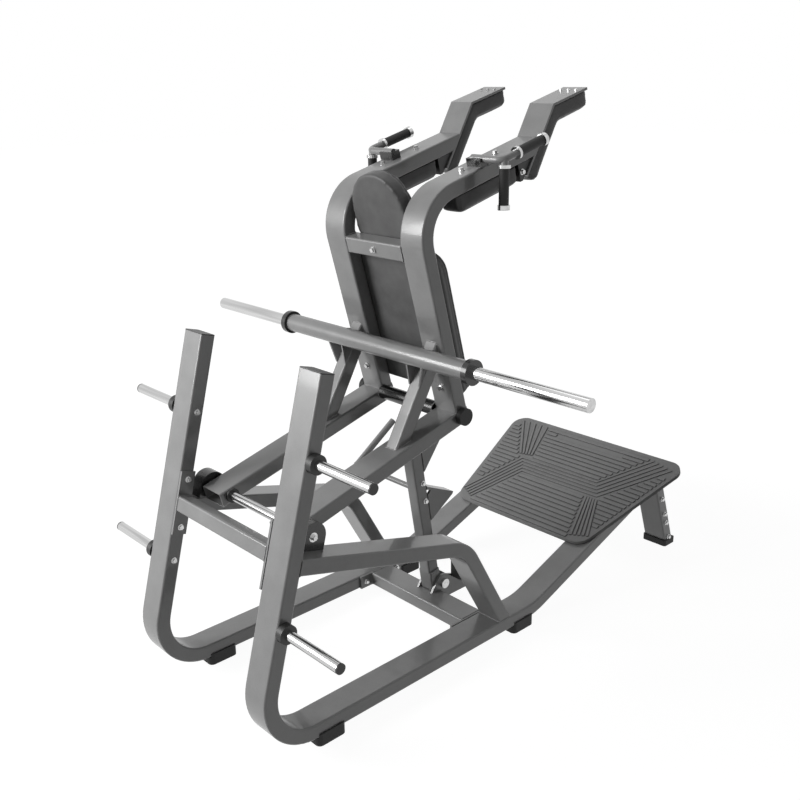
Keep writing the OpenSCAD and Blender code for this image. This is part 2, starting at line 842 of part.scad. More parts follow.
module sleeve_end_caps() {
    tip = sleeve_root + sleeve_collar_t + sleeve_len;
    color("dimgray") lever() for (side = [-1, 1])
        handed(side) bar_x(tip, tip + sleeve_cap_t, sleeve_dia, [sleeve_u, sleeve_v]);
}

module bumpers() {
    color("black") lever() for (side = [-1, 1])
        handed(side) bar_x(lever_out, lever_out + bumper_len, bumper_dia,
            [back_u - 6, bumper_rise]);
}

// Pad of a rounded outline on z = 0, with drawn-in sides and a crown
module cushion(w, h, t, low_r, high_r) {
    side_t = t - pad_crown - pad_edge;
    mid = [0, h / 2];
    edge = [for (a = [0 : 22.5 : 90]) pad_ring(w, h, low_r, high_r,
        pad_edge * (1 - cos(a)), side_t + pad_edge * sin(a))];
    top = edge[len(edge) - 1];
    rings = concat(
        [pad_ring(w, h, low_r, high_r, pad_tuck, 0),
            pad_ring(w, h, low_r, high_r, pad_tuck / 4, side_t / 2)],
        edge,
        [for (s = [0.85, 0.6, 0.3]) crown_ring(top, mid, s, pad_crown * (1 - s * s))]);
    n = len(top);
    polyhedron(concat([for (r = rings) each r], [[0, h / 2, 0], [0, h / 2, t]]),
        skin_faces(n, len(rings)));
}

// Band pad along a back line of stations, each as [point, depth direction, depth share]
module band_pad(stations, w, t) {
    last = len(stations) - 1;
    ends = [0, 2, 6, 13];
    first_dir = (stations[1][0] - stations[0][0]) / norm(stations[1][0] - stations[0][0]);
    last_dir = (stations[last][0] - stations[last - 1][0])
        / norm(stations[last][0] - stations[last - 1][0]);
    rings = concat(
        [for (d = ends) band_ring(stations[0][0] + d * first_dir, stations[0][1],
            w - 2 * end_draw(d), t - end_draw(d))],
        [for (i = [0 : last]) let (shift = i == 0 ? pad_edge * first_dir
            : i == last ? -pad_edge * last_dir : [0, 0])
            band_ring(stations[i][0] + shift, stations[i][1], w, t * stations[i][2])],
        [for (i = [len(ends) - 1 : -1 : 0]) band_ring(stations[last][0] - ends[i] * last_dir,
            stations[last][1], w - 2 * end_draw(ends[i]), t - end_draw(ends[i]))]);
    n = len(rings[0]);
    polyhedron(concat([for (r = rings) each r],
        [ring_mid(rings[0]), ring_mid(rings[len(rings) - 1])]), skin_faces(n, len(rings)));
}

// Stands a flat pad on the lever, facing forward from u at height v
module on_back(u, v) {
    lever() translate([0, u, v]) rotate([90, 0, 180]) children();
}

module back_pad() {
    color("gray") on_back(pad_rear_u, back_pad_low_v)
        cushion(back_pad_w, back_pad_h, back_pad_t, 40, 85);
}

// Head pad with a round top, and the panel that carries it on the crossbar
module head_pad() {
    color("gray") on_back(pad_rear_u, head_pad_low_v)
        cushion(head_pad_w, head_pad_h, head_pad_t, 36, head_pad_w / 2);
}

module shoulder_pad(side) {
    at_v = arm_low_v - seat_gap;
    color("gray") lever() handed(side) translate([lever_mid, 0, 0])
        band_pad([[[shoulder_u, at_v], [0, -1], 1],
            [[shoulder_u + shoulder_len / 2, at_v], [0, -1], 1],
            [[shoulder_u + shoulder_len, at_v], [0, -1], 1]], tube_w, shoulder_t);
}

// Bent steel plate that carries the front pad
module hook_plate(side) {
    slope = [cos(hook_slope), sin(hook_slope)];
    corner = [hook_corner_u, hook_top_v];
    low = corner - hook_low_len * slope;
    tip = corner + [hook_top_len - hook_tip_back, 0];
    outer = [hook_top_v + hook_plate_t + hook_plate_cut, hook_top_v + hook_plate_t];
    color("silver") lever() handed(side) slab_x(lever_in, lever_out)
        polygon([low, corner, tip, tip + [0, hook_plate_t], outer,
            low + hook_plate_t * [-slope[1], slope[0]]]);
}

// Front pad under the bent plate
module hook_pad(side) {
    slope = [cos(hook_slope), sin(hook_slope)];
    gap_corner = [hook_corner_u + seat_gap * tan(hook_slope / 2), hook_top_v - seat_gap];
    half_dir = [sin(hook_slope / 2), -cos(hook_slope / 2)];
    low_dir = [slope[1], -slope[0]];
    color("gray") lever() handed(side) translate([lever_mid, 0, 0])
        band_pad([[gap_corner - hook_low_len * slope, low_dir, 1],
            [gap_corner - hook_low_len / 2 * slope, low_dir, 1],
            [gap_corner, half_dir, 1 / cos(hook_slope / 2)],
            [gap_corner + [hook_top_len / 2, 0], [0, -1], 1],
            [gap_corner + [hook_top_len, 0], [0, -1], 1]], tube_w, hook_pad_t);
}

// Blocks between a shoulder pad and the bent plate, under the arm
module pad_blocks() {
    rear = shoulder_u + shoulder_len + 2;
    low_v = arm_low_v - block_h;
    color("black") lever() for (side = [-1, 1])
        handed(side) slab_x(lever_in + block_set, lever_out - block_set)
            polygon([[rear, arm_low_v], [rear, low_v],
                [hook_plate_cut + low_v - seat_gap, low_v],
                [hook_plate_cut + arm_low_v - seat_gap, arm_low_v]]);
}

// Bent handle tube with a forward leg and a downward leg
module handle(side) {
    color("dimgray") lever() handed(side) {
        bar_x(lever_mid, grip_x - elbow_r, handle_dia, [handle_u, handle_v]);
        translate([grip_x - elbow_r, handle_u + elbow_r, handle_v]) rotate([0, 0, -90])
            rotate_extrude(angle = 90) translate([elbow_r, 0]) circle(d = handle_dia);
        translate([grip_x, handle_u + elbow_r, handle_v]) rotate([-90, 0, 0])
            cylinder(d = handle_dia, h = grip_gap - elbow_r + grip_len_front);
        at_down_grip() cylinder(d = handle_dia, h = grip_down_drop + grip_len_down);
    }
}

// Frame of the downward grip, which points straight down at rest
module at_down_grip() {
    translate([grip_x - elbow_r * (1 - cos(30)), grip_down_u, handle_v])
        rotate([180 - lever_tilt, 0, 0]) children();
}

// Blocks that hold the handle tubes on the arms
module handle_bases() {
    color("black") lever() for (side = [-1, 1]) handed(side) difference() {
        translate([lever_mid - 12, handle_u - handle_base_len / 2, arm_top_v])
            cube([lever_out - lever_mid + 12, handle_base_len, handle_rise + 6]);
        bar_x(lever_mid, lever_out + cut, handle_dia, [handle_u, handle_v]);
    }
}

// Places a child on each grip's axis, starting at the grip's root
module at_grips() {
    lever() for (side = [-1, 1]) handed(side) {
        translate([grip_x, handle_u + grip_gap, handle_v]) rotate([-90, 0, 0])
            children(0);
        at_down_grip() translate([0, 0, grip_down_drop]) children(1);
    }
}

module grip(length) {
    difference() {
        translate([0, 0, grip_collar_len]) cylinder(d = grip_dia, h = length - grip_collar_len);
        translate([0, 0, -cut]) cylinder(d = handle_dia, h = length + 2 * cut);
    }
}

module grips() {
    color("black") at_grips() {
        grip(grip_len_front);
        grip(grip_len_down);
    }
}

module grip_trim(length) {
    difference() {
        cylinder(d = grip_end_dia, h = grip_collar_len);
        translate([0, 0, -cut]) cylinder(d = handle_dia, h = grip_collar_len + 2 * cut);
    }
    translate([0, 0, length]) cylinder(d = grip_end_dia, h = grip_cap_len);
}

module grip_ends() {
    color("gainsboro") at_grips() {
        grip_trim(grip_len_front);
        grip_trim(grip_len_down);
    }
}

// Bolt head on a face that looks along -u
module bolt_rear(x, v, dia) {
    translate([x, back_rear_u, v]) rotate([90, 0, 0]) bolt_head(dia);
}

module lever_bolts() {
    tip_u = hook_corner_u + hook_top_len - hook_tip_back;
    color("gainsboro") lever() {
        bolt_rear(0, crossbar_v, bolt_dia);
        for (side = [-1, 1]) handed(side) {
            bolt_rear(lever_mid, strut_bolt_v, bolt_dia);
            for (u = arm_bolt_u) translate([lever_mid, u, arm_top_v]) bolt_head(bolt_dia);
            for (k = [-1 : 1])
                translate([lever_mid + k * hook_bolt_step, tip_u - hook_bolt_back,
                    hook_top_v + hook_plate_t]) bolt_head(small_bolt_dia);
            bolt_x(lever_out - block_set, [hook_plate_cut + arm_low_v - block_h,
                arm_low_v - block_h / 2], bolt_dia, 1);
        }
    }
}

// Safety post, which swings forward about its axle

module safety_post() {
    foot_w = post_w + 2 * foot_cheek;
    color("silver") post() difference() {
        union() {
            translate([0, -post_set, post_foot])
                linear_extrude(post_len - post_foot) tube_section(post_w, post_d);
            translate([0, -post_set, post_len - post_cap_t])
                linear_extrude(post_cap_t) round_rect(post_w, post_d, tube_corner);
            translate([0, -post_set, post_foot]) linear_extrude(post_foot_h) difference() {
                round_rect(foot_w, post_d, tube_corner);
                round_rect(post_w - 2 * tube_wall, post_d - 2 * tube_wall, tube_corner);
            }
            bar_x(-foot_w / 2, foot_w / 2, 2 * lug_r);
        }
        bar_x(-foot_w, foot_w, axle_dia + 2 * run_fit);
    }
}

// Sloping ledge on the front of the post, with a gusset notched at the root on its right edge
module ledge(root, gusset_h) {
    front = post_d / 2 - post_set;
    dir = [cos(ledge_slope + post_lean), -sin(ledge_slope + post_lean)];
    tip = [front, root] + ledge_len * dir;
    down = ledge_t * [dir[1], -dir[0]];
    under = root - ledge_t / dir[0];
    slab_x(-ledge_w / 2, ledge_w / 2)
        polygon([[front, root], tip, tip + down, [front, under]]);
    slab_x(ledge_w / 2 - ledge_t, ledge_w / 2)
        polygon([[front, under - notch_h], [front + notch_w, under + notch_w * dir[1] / dir[0]],
            tip + down, [front, root - gusset_h]]);
}

module post_ledges() {
    color("silver") post() {
        ledge(ledge_low, gusset_low_h);
        ledge(ledge_high, gusset_high_h);
    }
}

// Release bar on its flange, with a thick rod as the handle
module release_handle() {
    color("gainsboro") post() translate([0, -release_set, release_h]) {
        bar_x(-release_x, -post_w / 2 - release_flange_t, release_dia);
        translate([-post_w / 2 - release_flange_t, -release_flange[0] / 2, -release_flange[1] / 2])
            cube([release_flange_t, release_flange[0], release_flange[1]]);
        translate([-release_x, 0, 0]) {
            sphere(d = release_rod_dia + 3);
            rotate([release_rise - 90, 0, 0]) cylinder(d = release_rod_dia, h = release_rod_len);
        }
    }
}

module post_bolts() {
    color("gainsboro") post() for (step = [-1, 1])
        bolt_x(post_w / 2, [-release_set, release_h + step * release_bolt_step], bolt_dia, 1);
}

frame_tube(1);  // frame_tube_right
frame_tube(-1);  // frame_tube_left
arch_brace(1);  // arch_brace_right
arch_brace(-1);  // arch_brace_left
rear_beam();
base_beam();
front_leg(1);  // front_leg_right
front_leg(-1);  // front_leg_left
upright_caps();
storage_horns(1);  // storage_horns_right
storage_horns(-1);  // storage_horns_left
horn_collars();
horn_end_caps();
frame_bolts();
rail_feet();
leg_feet();
footplate();
bearing(1);  // bearing_right
bearing(-1);  // bearing_left
post_clevis();
post_stop();
post_axle();
pivot_shaft();
shaft_bolts();
shaft_bushes();
lever_tube(1);  // lever_tube_right
lever_tube(-1);  // lever_tube_left
strut(1);  // strut_right
strut(-1);  // strut_left
back_tube(1);  // back_tube_right
back_tube(-1);  // back_tube_left
cross_tube();
upper_crossbar();
sleeve_bar();
sleeve_saddles();
sleeve_collars();
weight_sleeve(1);  // weight_sleeve_right
weight_sleeve(-1);  // weight_sleeve_left
sleeve_end_caps();
bumpers();
back_pad();
head_pad();
shoulder_pad(1);  // shoulder_pad_right
shoulder_pad(-1);  // shoulder_pad_left
hook_plate(1);  // hook_plate_right
hook_plate(-1);  // hook_plate_left
hook_pad(1);  // hook_pad_right
hook_pad(-1);  // hook_pad_left
pad_blocks();
handle(1);  // handle_right
handle(-1);  // handle_left
handle_bases();
grips();
grip_ends();
lever_bolts();
safety_post();
post_ledges();
release_handle();
post_bolts();
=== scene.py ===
"""Dresses the plate-loaded lever squat machine: lacquered box tubes, chrome sleeves,
vinyl pads, a ribbed footplate, weld seams and stitches. Everything is in metres."""

import math

import bmesh
import bpy
import json
from mathutils import Matrix, Vector


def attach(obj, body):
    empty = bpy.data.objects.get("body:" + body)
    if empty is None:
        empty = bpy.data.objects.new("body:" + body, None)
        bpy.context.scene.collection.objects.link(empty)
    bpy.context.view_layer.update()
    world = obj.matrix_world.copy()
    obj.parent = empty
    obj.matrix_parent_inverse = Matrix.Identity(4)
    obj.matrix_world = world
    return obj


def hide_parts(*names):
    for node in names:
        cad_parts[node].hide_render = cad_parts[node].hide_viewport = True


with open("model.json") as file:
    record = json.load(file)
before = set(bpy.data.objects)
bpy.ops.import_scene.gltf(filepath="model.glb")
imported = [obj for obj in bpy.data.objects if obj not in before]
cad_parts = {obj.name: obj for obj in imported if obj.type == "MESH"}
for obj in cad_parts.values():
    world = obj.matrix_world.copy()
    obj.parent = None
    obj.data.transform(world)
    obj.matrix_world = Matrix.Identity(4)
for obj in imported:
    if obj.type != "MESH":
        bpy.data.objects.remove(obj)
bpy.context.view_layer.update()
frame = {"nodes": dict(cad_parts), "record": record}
nodes = frame["nodes"]

SIDES = (-1, 1)


def tilted(at, degrees):
    """Frame at a point, turned about X."""
    return Matrix.Translation(at) @ Matrix.Rotation(math.radians(degrees), 4, "X")


# Frames of the lever, the post and the footplate, each with Y along it and Z square to it
LEVER = tilted((0, -0.969237, 0.783728), 15)
LEVER_BACK = LEVER.inverted()
POST = tilted((0, -0.036303, 0.125), 9.6)
PLATE = tilted((0, 0.510097, 0.225553), 20)

# Section of the box tube, and places on the lever as in the source
TUBE_W = 0.120
TUBE_D = 0.060
TUBE_CORNER = 0.008
LEAN = 15.4
LEVER_X = 0.218
LEVER_IN = 0.158
BACK_U = 0.841
PAD_REAR = BACK_U + TUBE_D / 2
ARM_LOW = 0.839
HOOK_TOP = 0.989
HOOK_CORNER = 1.6311


def linear(hex_colour):
    """Turns an sRGB hex value into a linear colour."""
    channels = [int(hex_colour[i:i + 2], 16) / 255 for i in (0, 2, 4)]
    return tuple(c / 12.92 if c <= 0.04045 else ((c + 0.055) / 1.055) ** 2.4 for c in channels) + (1.0,)


def add(tree, kind, inputs=None, **settings):
    """Adds a node, sets its properties, and sets or links its inputs."""
    node = tree.nodes.new(kind)
    for name, value in settings.items():
        setattr(node, name, value)
    for key, value in (inputs or {}).items():
        if isinstance(value, bpy.types.NodeSocket):
            tree.links.new(value, node.inputs[key])
        else:
            node.inputs[key].default_value = value
    return node


def new_material(name):
    """Starts an empty material and returns it with its tree."""
    material = bpy.data.materials.new(name)
    material.use_nodes = True
    material.node_tree.nodes.clear()
    return material, material.node_tree


def finish_material(tree, **inputs):
    """Ends a material in a Principled shader with the given inputs."""
    named = {key.replace("_", " "): value for key, value in inputs.items()}
    shader = add(tree, "ShaderNodeBsdfPrincipled", named)
    add(tree, "ShaderNodeOutputMaterial", {"Surface": shader.outputs["BSDF"]})


def shade_range(tree, factor, dark, light):
    """Colour that goes from dark to light with the factor."""
    ramp = add(tree, "ShaderNodeValToRGB", {"Fac": factor})
    ramp.color_ramp.elements[0].position = 0.3
    ramp.color_ramp.elements[1].position = 0.7
    ramp.color_ramp.elements[0].color = linear(dark)
    ramp.color_ramp.elements[1].color = linear(light)
    return ramp.outputs["Color"]


def value_range(tree, factor, low, high):
    """Number that goes from low to high with the factor."""
    return add(tree, "ShaderNodeMapRange", {"Value": factor, "From Min": 0.3, "From Max": 0.7,
                                            "To Min": low, "To Max": high}).outputs["Result"]


def speckle(tree, size_mm, detail=2.0, stretch=(1, 1, 1)):
    """Noise whose grains are size_mm across, on the piece's own coordinates."""
    where = add(tree, "ShaderNodeTexCoord").outputs["Object"]
    if stretch != (1, 1, 1):
        where = add(tree, "ShaderNodeMapping", {"Vector": where, "Scale": stretch}).outputs["Vector"]
    noise = add(tree, "ShaderNodeTexNoise", {"Vector": where, "Scale": 1000 / size_mm, "Detail": detail})
    return noise.outputs["Fac"]


def bump(tree, height, depth_mm, strength=0.5):
    """Normal from a height pattern of the given depth."""
    return add(tree, "ShaderNodeBump", {"Height": height, "Distance": depth_mm / 1000,
                                        "Strength": strength}).outputs["Normal"]


def outside_edge_share(tree, reach_mm, threshold=0.12):
    """Factor near 1 at outside edges, from how far a small bevel turns the normal."""
    bevel = add(tree, "ShaderNodeBevel", {"Radius": reach_mm / 1000}, samples=6)
    face = add(tree, "ShaderNodeNewGeometry").outputs["Normal"]
    turn = add(tree, "ShaderNodeVectorMath", {0: bevel.outputs["Normal"], 1: face}, operation="DOT_PRODUCT")
    return add(tree, "ShaderNodeMapRange", {"Value": turn.outputs["Value"], "From Min": 1 - threshold,
                                            "From Max": 1, "To Min": 1, "To Max": 0}).outputs["Result"]


def silver_lacquer():
    """Metallic grey lacquer, sprayed and baked over steel tube. Its flakes give a fine sparkle,
    the clear coat an even gloss, and the edges are lighter: partly a thinner, worn coat, partly a painted
    highlight."""
    material, tree = new_material("silver_lacquer")
    flakes = speckle(tree, 1.6, 3)
    cloud = speckle(tree, 90, 3)
    mixed = add(tree, "ShaderNodeMath", {0: flakes, 1: cloud}, operation="ADD")
    mean = add(tree, "ShaderNodeMath", {0: mixed.outputs[0], 1: 0.5}, operation="MULTIPLY")
    sprayed = shade_range(tree, mean.outputs[0], "858585", "979797")
    # Lighter edges towards 9e9e9e: partly edge wear, partly a painted highlight for the light that the edges
    # catch
    edges = add(tree, "ShaderNodeMath", {0: outside_edge_share(tree, 1.5), 1: 0.2}, operation="MULTIPLY")
    colour = add(tree, "ShaderNodeMix", {0: edges.outputs[0], 6: sprayed, 7: linear("9e9e9e")},
                 data_type="RGBA")
    peel = bump(tree, speckle(tree, 4, 1), 0.05, 0.2)
    finish_material(tree, Base_Color=colour.outputs[2], Metallic=0.12, Specular_IOR_Level=0.3,
                    Roughness=value_range(tree, cloud, 0.34, 0.42), Coat_Weight=0.4,
                    Coat_Roughness=0.08, Normal=peel)
    return material


def chrome_plate():
    """Polished chrome over steel. It mirrors the room, with faint rub marks along its length."""
    material, tree = new_material("chrome_plate")
    marks = speckle(tree, 12, 1, (0.04, 1, 1))
    finish_material(tree, Base_Color=shade_range(tree, marks, "b9b9b9", "cfcfcf"), Metallic=1.0,
                    Roughness=value_range(tree, marks, 0.1, 0.16), Normal=bump(tree, marks, 0.01, 0.04))
    return material


def black_lacquer():
    """Black stove enamel on steel: dark, with a soft gloss and a little dust in the coat."""
    material, tree = new_material("black_lacquer")
    dust = speckle(tree, 3, 3)
    finish_material(tree, Base_Color=shade_range(tree, dust, "0e0e0e", "181818"), Metallic=0.0,
                    Roughness=value_range(tree, dust, 0.24, 0.34), Coat_Weight=0.3, Coat_Roughness=0.1,
                    Normal=bump(tree, dust, 0.02, 0.2))
    return material


def moulded_rubber():
    """Moulded black rubber: matt, slightly grey on its edges, with a fine mould grain."""
    material, tree = new_material("moulded_rubber")
    grain = speckle(tree, 1.8, 4)
    black = shade_range(tree, grain, "131313", "1f1f1f")
    colour = add(tree, "ShaderNodeMix", {0: outside_edge_share(tree, 2), 6: black, 7: linear("343434")},
                 data_type="RGBA")
    finish_material(tree, Base_Color=colour.outputs[2], Roughness=value_range(tree, grain, 0.55, 0.72),
                    Specular_IOR_Level=0.4, Normal=bump(tree, grain, 0.15, 0.5))
    return material


def moulded_nylon():
    """Injection moulded black nylon: satin, with a spark eroded texture."""
    material, tree = new_material("moulded_nylon")
    grain = speckle(tree, 1.2, 3)
    finish_material(tree, Base_Color=shade_range(tree, grain, "141414", "202020"),
                    Roughness=value_range(tree, grain, 0.4, 0.52), Normal=bump(tree, grain, 0.06, 0.4))
    return material


def ribbed_plastic():
    """Grey polypropylene footplate, moulded with a matt grain and lightly scuffed by shoes. Its grooves
    get painted shade: the colour darkens where ambient occlusion finds them enclosed."""
    material, tree = new_material("ribbed_plastic")
    grain = speckle(tree, 2.2, 4)
    scuff = speckle(tree, 45, 5, (1, 0.35, 1))
    mixed = add(tree, "ShaderNodeMath", {0: grain, 1: scuff}, operation="ADD")
    mean = add(tree, "ShaderNodeMath", {0: mixed.outputs[0], 1: 0.5}, operation="MULTIPLY")
    unshaded_colour = shade_range(tree, mean.outputs[0], "8c8c8c", "9e9e9e")
    # Painted shade: the colour darkens towards 2c2c2c in grooves and corners that ambient occlusion finds
    # enclosed
    open_sky = add(tree, "ShaderNodeAmbientOcclusion", {"Distance": 0.010}, samples=8).outputs["AO"]
    share = add(tree, "ShaderNodeMapRange", {"Value": open_sky, "From Min": 0.45, "From Max": 0.95})
    colour = add(tree, "ShaderNodeMix", {0: share.outputs["Result"], 6: linear("2c2c2c"), 7: unshaded_colour},
                 data_type="RGBA")
    finish_material(tree, Base_Color=colour.outputs[2],
                    Roughness=value_range(tree, scuff, 0.5, 0.65), Specular_IOR_Level=0.3,
                    Normal=bump(tree, grain, 0.08, 0.4))
    return material


def vinyl_cover():
    """Upholstery vinyl over foam: calendered leather grain, satin, a little darker in its hollows."""
    material, tree = new_material("vinyl_cover")
    where = add(tree, "ShaderNodeTexCoord").outputs["Object"]
    # Grain cells are 2.2 mm across, a little coarser than life so that they show
    cells = add(tree, "ShaderNodeTexVoronoi", {"Vector": where, "Scale": 1000 / 2.2},
                feature="DISTANCE_TO_EDGE").outputs["Distance"]
    grain = add(tree, "ShaderNodeMapRange", {"Value": cells, "From Max": 0.25}).outputs["Result"]
    cloud = speckle(tree, 60, 3)
    finish_material(tree, Base_Color=shade_range(tree, cloud, "585858", "666666"),
                    Specular_IOR_Level=0.35, Roughness=value_range(tree, cloud, 0.42, 0.52),
                    Normal=bump(tree, grain, 0.12, 0.35))
    return material


def seam_thread():
    """Bonded polyester thread, twisted and slightly shiny, in charcoal."""
    material, tree = new_material("seam_thread")
    twist = speckle(tree, 0.8, 1)
    finish_material(tree, Base_Color=shade_range(tree, twist, "202020", "343434"), Roughness=0.5)
    return material


MATERIALS = {
    "frame_paint": silver_lacquer(),
    "chrome": chrome_plate(),
    "black_paint": black_lacquer(),
    "rubber": moulded_rubber(),
    "black_plastic": moulded_nylon(),
    "footplate": ribbed_plastic(),
    "upholstery": vinyl_cover(),
}
THREAD = seam_thread()


def dress(piece, material):
    """Gives a piece one material."""
    piece.data.materials.clear()
    piece.data.materials.append(material)


def dress_frame():
    """Gives each node of the frame the finish of its slot."""
    for part in frame["record"]["subparts"]:
        dress(nodes[part["node"]], MATERIALS[part["material_slot"]])
    # The weight sleeves end in bright metal, though the record lists their caps as black
    dress(nodes["sleeve_end_caps"], MATERIALS["chrome"])


def show(name, mesh):
    """Puts a mesh into the scene as an object."""
    piece = bpy.data.objects.new(name, mesh)
    bpy.context.scene.collection.objects.link(piece)
    return piece


def bake_modifiers(piece):
    """Applies all of a piece's modifiers to its mesh."""
    graph = bpy.context.evaluated_depsgraph_get()
    mesh = bpy.data.meshes.new_from_object(piece.evaluated_get(graph))
    piece.modifiers.clear()
    piece.data = mesh


# Rows of beads and ribs, grown by node trees along lines

def new_tree(name, sockets):
    """Starts a node tree that takes lines and some named inputs, and gives geometry."""
    tree = bpy.data.node_groups.new(name, "GeometryNodeTree")
    tree.interface.new_socket("Lines", in_out="INPUT", socket_type="NodeSocketGeometry")
    for label, kind in sockets:
        tree.interface.new_socket(label, in_out="INPUT", socket_type=kind)
    tree.interface.new_socket("Finish", in_out="INPUT", socket_type="NodeSocketMaterial")
    tree.interface.new_socket("Geometry", in_out="OUTPUT", socket_type="NodeSocketGeometry")
    enter = add(tree, "NodeGroupInput").outputs
    curve = add(tree, "GeometryNodeMeshToCurve", {"Mesh": enter["Lines"]}).outputs["Curve"]
    return tree, enter, curve


def end_tree(tree, enter, geometry):
    """Ends a node tree in plain geometry with one finish."""
    real = add(tree, "GeometryNodeRealizeInstances", {"Geometry": geometry})
    done = add(tree, "GeometryNodeSetMaterial", {"Geometry": real.outputs["Geometry"],
                                                 "Material": enter["Finish"]})
    add(tree, "NodeGroupOutput", {"Geometry": done.outputs["Geometry"]})
    return tree


def bead_tree():
    """Tree that sets oval beads along lines, for weld beads and for stitches."""
    tree, enter, curve = new_tree("bead_row", (("Spacing", "NodeSocketFloat"), ("Size", "NodeSocketVector")))
    row = add(tree, "GeometryNodeResampleCurve", {"Curve": curve, "Length": enter["Spacing"]}, mode="LENGTH")
    along = add(tree, "GeometryNodeInputTangent").outputs["Tangent"]
    turn = add(tree, "FunctionNodeAlignRotationToVector", {"Vector": along}, axis="X")
    bead = add(tree, "GeometryNodeMeshIcoSphere", {"Radius": 1.0, "Subdivisions": 2})
    placed = add(tree, "GeometryNodeInstanceOnPoints", {
        "Points": row.outputs["Curve"], "Instance": bead.outputs["Mesh"],
        "Rotation": turn.outputs["Rotation"], "Scale": enter["Size"]})
    return end_tree(tree, enter, placed.outputs["Instances"])


def rib_tree():
    """Tree that runs a flat rib with rounded edges along lines."""
    sizes = [(label, "NodeSocketFloat") for label in ("Width", "Height", "Rounding")]
    tree, enter, curve = new_tree("rib_row", sizes)
    section = add(tree, "GeometryNodeCurvePrimitiveQuadrilateral", {"Width": enter["Width"],
                                                                    "Height": enter["Height"]})
    rounded = add(tree, "GeometryNodeFilletCurve", {"Curve": section.outputs["Curve"], "Count": 3,
                                                    "Radius": enter["Rounding"]}, mode="POLY")
    rib = add(tree, "GeometryNodeCurveToMesh", {"Curve": curve, "Profile Curve": rounded.outputs["Curve"],
                                                "Fill Caps": True})
    return end_tree(tree, enter, rib.outputs["Mesh"])


def line_mesh(name, lines, closed=True):
    """Mesh of edges only, through each line's points."""
    points = []
    edges = []
    for line in lines:
        first = len(points)
        points += [tuple(p) for p in line]
        edges += [(first + i, first + i + 1) for i in range(len(line) - 1)]
        if closed:
            edges.append((len(points) - 1, first))
    mesh = bpy.data.meshes.new(name)
    mesh.from_pydata(points, edges, [])
    return mesh


def grow(name, lines, tree, body, slot, material, closed=True, place=None, **values):
    """Runs a tree over lines and keeps the result as a plain piece, moved to a place if one is given."""
    piece = show(name, line_mesh(name, lines, closed))
    modifier = piece.modifiers.new("grow", "NODES")
    modifier.node_group = tree
    for item in tree.interface.items_tree:
        if item.in_out == "INPUT" and item.name in values:
            modifier[item.identifier] = values[item.name]
        if item.name == "Finish":
            modifier[item.identifier] = material
    bake_modifiers(piece)
    if place is not None:
        piece.data.transform(place)
    # Round beads are shaded smooth, and ribs, which are the rows with a place, keep flat faces
    for face in piece.data.polygons:
        face.use_smooth = place is None
    dress(piece, material)
    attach(piece, body)
    return piece


# Welds

WELD_STEP = 0.0035
WELD_SIZE = (0.0034, 0.0028, 0.0028)

# Joints of the frame: middle of a side frame, face that the cross beams meet, front foot of the arch
# brace and its slope, heights of the beams
FRAME_X = 0.3545
BEAM_X = 0.2845
BRACE_Y = -0.03528
RAIL_TOP = 0.095
BRACE_SLOPE = 60.5
REAR_BEAM_RISE = 0.012
BASE_BEAM_Y = -0.1113
BASE_BEAM_Z = 0.065

# Joints of the lever: feet of the struts, upper crossbar and its height, round cross tube
STRUT_U = 0.544
STRUT_V = 0.297
CROSSBAR_V = 0.688
CROSSBAR_H = 0.066
CROSS_TUBE_U = 0.815
CROSS_TUBE_V = 0.020
CROSS_TUBE_DIA = 0.060
ROUND_CORNER = 0.0299

# Joints of the post: where its two ledges start, half a ledge, its width and thickness at the weld
LEDGE_ROOTS = (0.493, 0.808)
LEDGE_HALF = 0.0065
LEDGE_W = 0.060
LEDGE_T = 0.0145
LEDGE_CORNER = 0.001


def outline(place, width, depth, corner=TUBE_CORNER):
    """Points round a rounded rectangle that lies in a frame's XY plane."""
    points = []
    for i in range(4):
        x = (width / 2 - corner) * (1 if i in (0, 3) else -1)
        y = (depth / 2 - corner) * (1 if i < 2 else -1)
        for k in range(4):
            angle = math.radians(90 * i + 30 * k)
            points.append(place @ Vector((x + corner * math.cos(angle), y + corner * math.sin(angle), 0)))
    return points


def on_face(base, x, y, z, axis=None):
    """Frame at a point of a base frame, whose XY plane is turned upright about X or Y."""
    turn = Matrix.Rotation(math.radians(90), 4, axis) if axis else Matrix.Identity(4)
    return base @ Matrix.Translation((x, y, z)) @ turn


